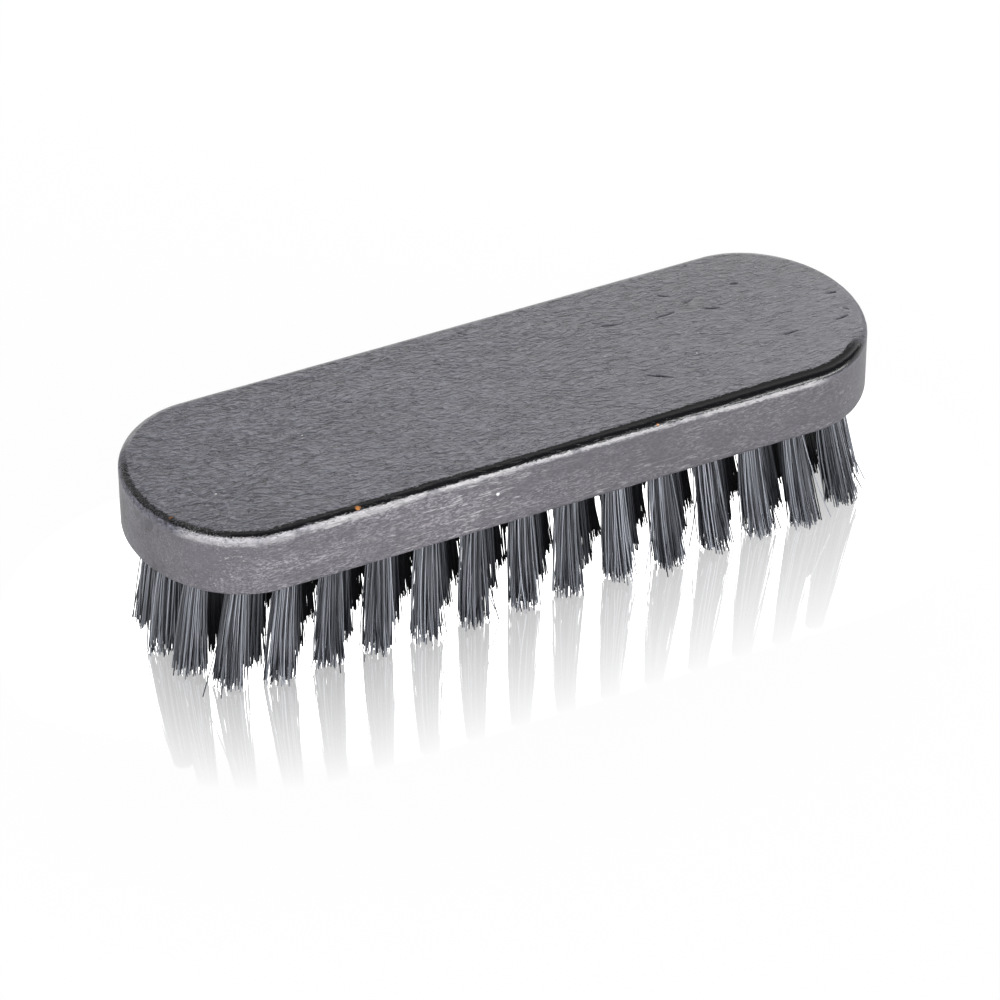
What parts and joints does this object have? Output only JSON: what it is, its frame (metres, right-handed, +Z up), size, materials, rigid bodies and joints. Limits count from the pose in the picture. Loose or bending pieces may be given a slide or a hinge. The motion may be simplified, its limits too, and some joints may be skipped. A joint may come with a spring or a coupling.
{
  "type": "leather cleaning brush",
  "caption": "Hand brush for cleaning leather: a flat stained wooden block with rounded ends and leaning tufts of stiff black nylon strands under it.",
  "frame": {"origin": "centre of the footprint, on the surface that the trimmed tips stand on", "axes": "+X along the length, +Y across the width, +Z up from the tips to the block's flat top"},
  "size_m": [0.15, 0.0466, 0.0379],
  "materials": {
    "stained_wood": "thin dark stain under worn satin lacquer, open grain",
    "black_nylon": "semi-gloss extruded strands"
  },
  "bodies": {
    "root": {"wooden_block": "stained_wood", "rim_tuft_01": "black_nylon", "rim_tuft_02": "black_nylon", "rim_tuft_03": "black_nylon", "rim_tuft_04": "black_nylon", "rim_tuft_05": "black_nylon", "rim_tuft_06": "black_nylon", "rim_tuft_07": "black_nylon", "rim_tuft_08": "black_nylon", "rim_tuft_09": "black_nylon", "rim_tuft_10": "black_nylon", "rim_tuft_11": "black_nylon", "rim_tuft_12": "black_nylon", "rim_tuft_13": "black_nylon", "rim_tuft_14": "black_nylon", "rim_tuft_15": "black_nylon", "rim_tuft_16": "black_nylon", "rim_tuft_17": "black_nylon", "rim_tuft_18": "black_nylon", "rim_tuft_19": "black_nylon", "rim_tuft_20": "black_nylon", "rim_tuft_21": "black_nylon", "rim_tuft_22": "black_nylon", "rim_tuft_23": "black_nylon", "rim_tuft_24": "black_nylon", "rim_tuft_25": "black_nylon", "rim_tuft_26": "black_nylon", "rim_tuft_27": "black_nylon", "rim_tuft_28": "black_nylon", "rim_tuft_29": "black_nylon", "rim_tuft_30": "black_nylon", "rim_tuft_31": "black_nylon", "rim_tuft_32": "black_nylon", "rim_tuft_33": "black_nylon", "rim_tuft_34": "black_nylon", "inner_row_1": "black_nylon", "inner_row_2": "black_nylon", "inner_row_3": "black_nylon", "inner_row_4": "black_nylon"}
  },
  "joints": []
}
